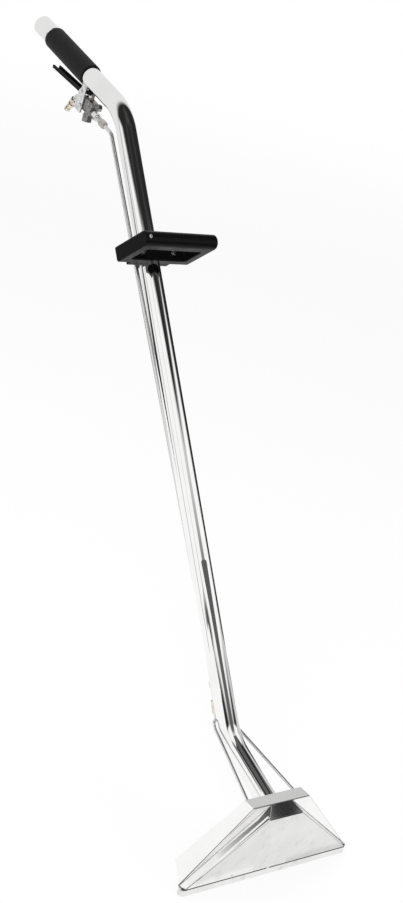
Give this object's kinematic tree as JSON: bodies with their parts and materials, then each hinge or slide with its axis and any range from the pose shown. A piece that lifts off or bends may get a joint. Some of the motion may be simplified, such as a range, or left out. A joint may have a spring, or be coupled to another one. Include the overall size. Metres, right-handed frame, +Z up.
{
  "type": "carpet extraction wand",
  "caption": "Hand-held S-bend stainless carpet cleaning wand: suction head with spray hood, trigger valve with solution line, grip sleeve and sliding D handle.",
  "frame": {"origin": "centre of the mouth's front lower edge, on the floor", "axes": "+X along the mouth, to the left of an operator who stands behind the hose end; +Y back towards the operator and the hose end; +Z up from the floor"},
  "size_m": [0.3048, 1.0235, 0.9853],
  "materials": {
    "polished_tube": "mirror polished stainless tube",
    "polished_head": "polished stainless sheet",
    "polished_lip": "polished stainless lip",
    "pipe_steel": "bright stainless pipe",
    "grip_foam": "satin black sleeve",
    "handle_plastic": "black moulded plastic",
    "lever_coat": "dark coated steel",
    "bracket_steel": "satin steel sheet",
    "valve_steel": "dark dull valve metal",
    "stem_steel": "ground steel",
    "spring_steel": "spring wire",
    "jet_steel": "turned stainless",
    "bolt_steel": "zinc plated steel",
    "brass": "plain brass",
    "inlet_brass": "pale plated brass",
    "union_nickel": "bright nickel plate",
    "ferrule_nickel": "dull nickel plate",
    "seal_rubber": "black rubber"
  },
  "bodies": {
    "wand": {"wand_tube": "polished_tube", "grip_sleeve": "grip_foam", "vacuum_shoe": "polished_head", "spray_hood": "polished_head", "mouth_lip": "polished_lip", "jet_brackets": "polished_head", "jet_bodies": "brass", "jet_tips": "jet_steel", "jet_nuts": "brass", "left_feed_pipe": "pipe_steel", "right_feed_pipe": "pipe_steel", "line_splitter": "brass", "splitter_nut": "brass", "solution_line": "pipe_steel", "line_clip": "pipe_steel", "valve_body": "valve_steel", "stem_seal": "seal_rubber", "gland_nut": "brass", "valve_cap_nut": "valve_steel", "return_spring": "spring_steel", "side_plug": "valve_steel", "outlet_union": "union_nickel", "line_nut": "ferrule_nickel", "inlet_elbow": "inlet_brass", "inlet_nipple": "inlet_brass", "valve_bracket": "bracket_steel", "bracket_screws": "bracket_steel", "pivot_pin": "bracket_steel", "pivot_clip": "bracket_steel"},
    "lever": {"trigger_lever": "lever_coat"},
    "stem": {"valve_stem": "stem_steel"},
    "handle": {"d_handle": "handle_plastic", "handle_clamp": "handle_plastic", "handle_screw": "bolt_steel", "clamp_bolts": "bolt_steel", "clamp_nuts": "bolt_steel"}
  },
  "joints": [
    {"name": "trigger_squeeze", "type": "hinge", "parent": "wand", "child": "lever", "pos_m": [0, 0.84543, 0.90021], "axis": [1, 0, 0], "range_deg": [0, 5], "stiffness_Nm_per_rad": 0.6, "springref_deg": -11.46},
    {"name": "stem_push", "type": "slide", "parent": "wand", "child": "stem", "axis": [0, 0, -1], "range_m": [0, 0.0017], "deforming": ["return_spring"]},
    {"name": "handle_slide", "type": "slide", "parent": "wand", "child": "handle", "axis": [0, 0.6157, 0.788], "range_m": [-0.12, 0.08]}
  ],
  "couplings": [
    {"joint": "stem_push", "follows": "trigger_squeeze", "m_per_rad": 0.01714}
  ]
}
